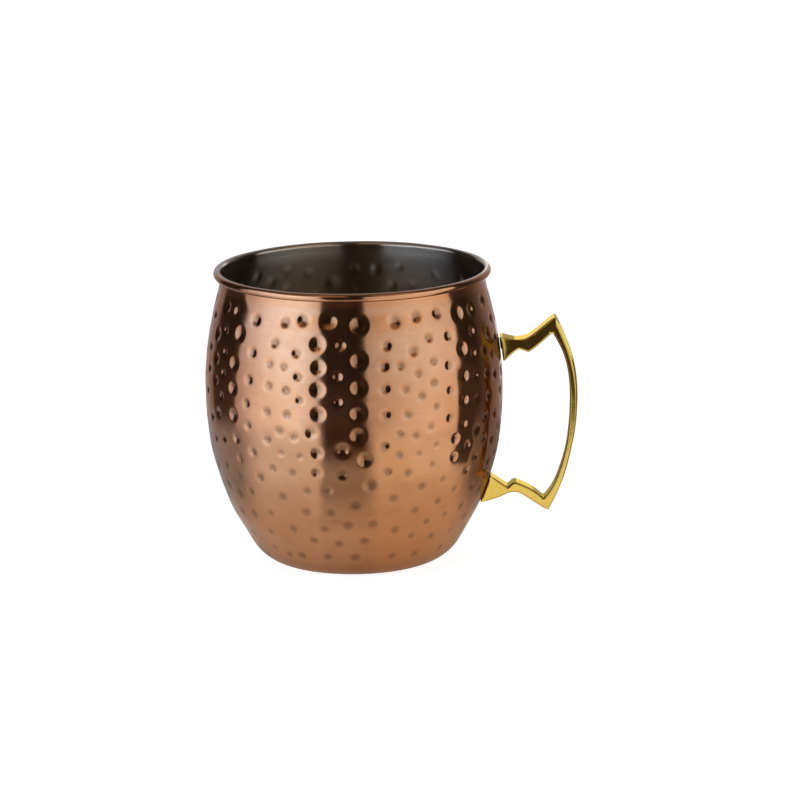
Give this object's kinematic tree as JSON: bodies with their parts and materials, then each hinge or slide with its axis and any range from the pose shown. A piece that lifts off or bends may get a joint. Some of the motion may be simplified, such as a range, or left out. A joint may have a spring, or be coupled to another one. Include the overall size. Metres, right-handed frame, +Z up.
{
  "type": "copper mug",
  "caption": "Barrel-shaped hammered copper-coloured mug with a rolled rim, a rounded flat-bottomed foot and an angular cast brass side handle.",
  "frame": {"origin": "centre of the flat standing face, on the cup's axis", "axes": "+Z up along the cup's axis towards the mouth, +X out through the handle, +Y across the handle"},
  "size_m": [0.1209, 0.0966, 0.0969],
  "materials": {
    "copper_plated_sheet": "hammered stainless sheet, copper plated and brushed outside, bare satin steel inside",
    "cast_brass": "polished cast brass with eased edges",
    "stud_steel": "dull steel",
    "weld_metal": "heat-tinted weld metal, matt"
  },
  "bodies": {
    "root": {"cup_body": "copper_plated_sheet", "handle": "cast_brass", "upper_stud": "stud_steel", "lower_stud": "stud_steel", "upper_weld_collar": "weld_metal", "lower_weld_collar": "weld_metal"}
  },
  "joints": []
}
